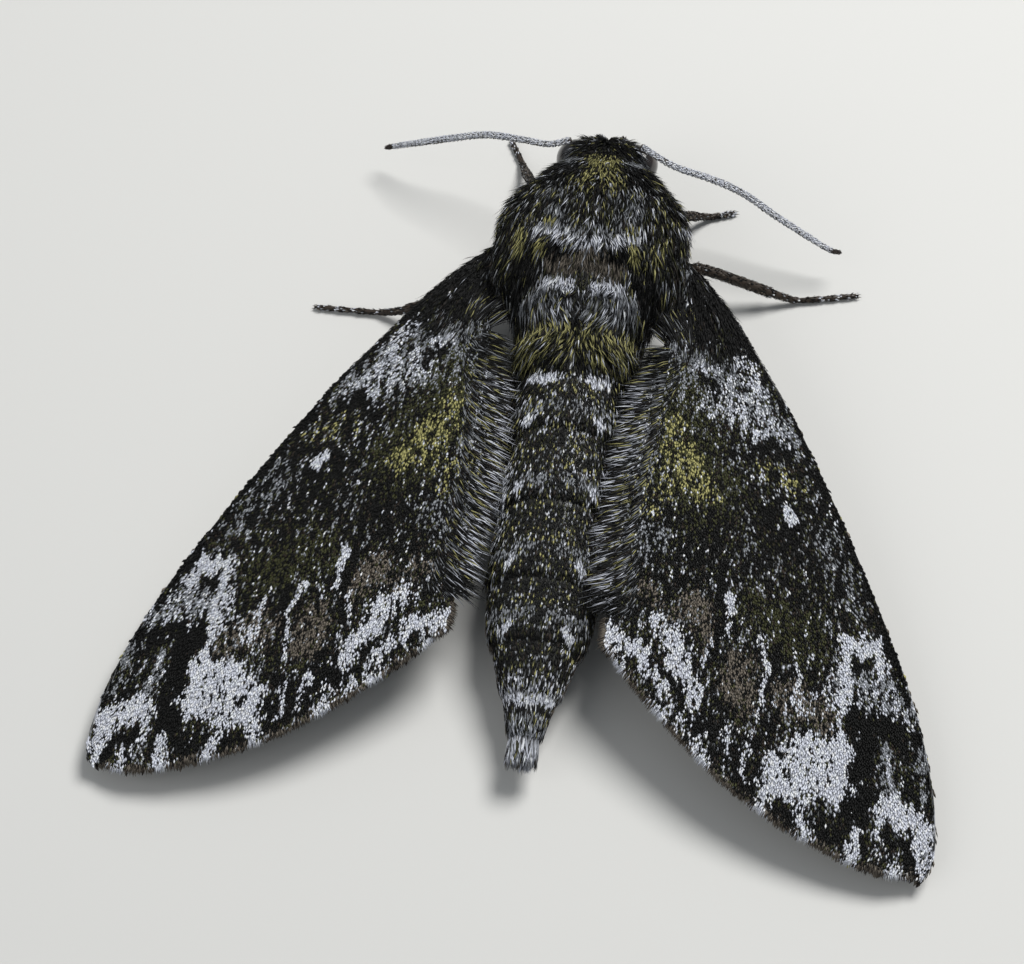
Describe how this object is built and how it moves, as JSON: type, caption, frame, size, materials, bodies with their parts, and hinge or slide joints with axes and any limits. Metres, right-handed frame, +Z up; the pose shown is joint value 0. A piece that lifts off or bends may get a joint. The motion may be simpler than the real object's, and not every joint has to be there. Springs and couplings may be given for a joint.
{
  "type": "hawk moth",
  "caption": "Life-size still model of a dark hawk moth at rest, forewings spread as a low tent, with white-marked wings and pale feelers.",
  "frame": {"origin": "bottom centre of the whole moth's bounding box, on the surface its feet stand on", "axes": "+Z up; the head points toward -Y and the tail toward +Y; the moth's own left is +X"},
  "size_m": [0.0644, 0.0636, 0.0126],
  "materials": {
    "scale_coat": "matt hair-like scales, blackish brown with olive and white tips",
    "wing_scales": "matt overlapping scales, blackish brown with olive and white patches",
    "leg_scales": "matt scales, dark brown with pale rings",
    "antenna": "matt white scales above, brown below",
    "eye": "glossy faceted surface",
    "tongue": "satin brown horn"
  },
  "bodies": {
    "root": {"head": "scale_coat", "collar": "scale_coat", "thorax": "scale_coat", "tegula_left": "scale_coat", "tegula_right": "scale_coat", "abdomen_1": "scale_coat", "abdomen_2": "scale_coat", "abdomen_3": "scale_coat", "abdomen_4": "scale_coat", "abdomen_5": "scale_coat", "abdomen_6": "scale_coat", "tail_tuft": "scale_coat", "palp_left": "scale_coat", "palp_right": "scale_coat", "forewing_left": "wing_scales", "forewing_right": "wing_scales", "hindwing_left": "wing_scales", "hindwing_right": "wing_scales", "foreleg_left": "leg_scales", "foreleg_right": "leg_scales", "midleg_left": "leg_scales", "midleg_right": "leg_scales", "hindleg_left": "leg_scales", "hindleg_right": "leg_scales", "antenna_left": "antenna", "antenna_right": "antenna", "eye_left": "eye", "eye_right": "eye", "proboscis": "tongue"}
  },
  "joints": []
}
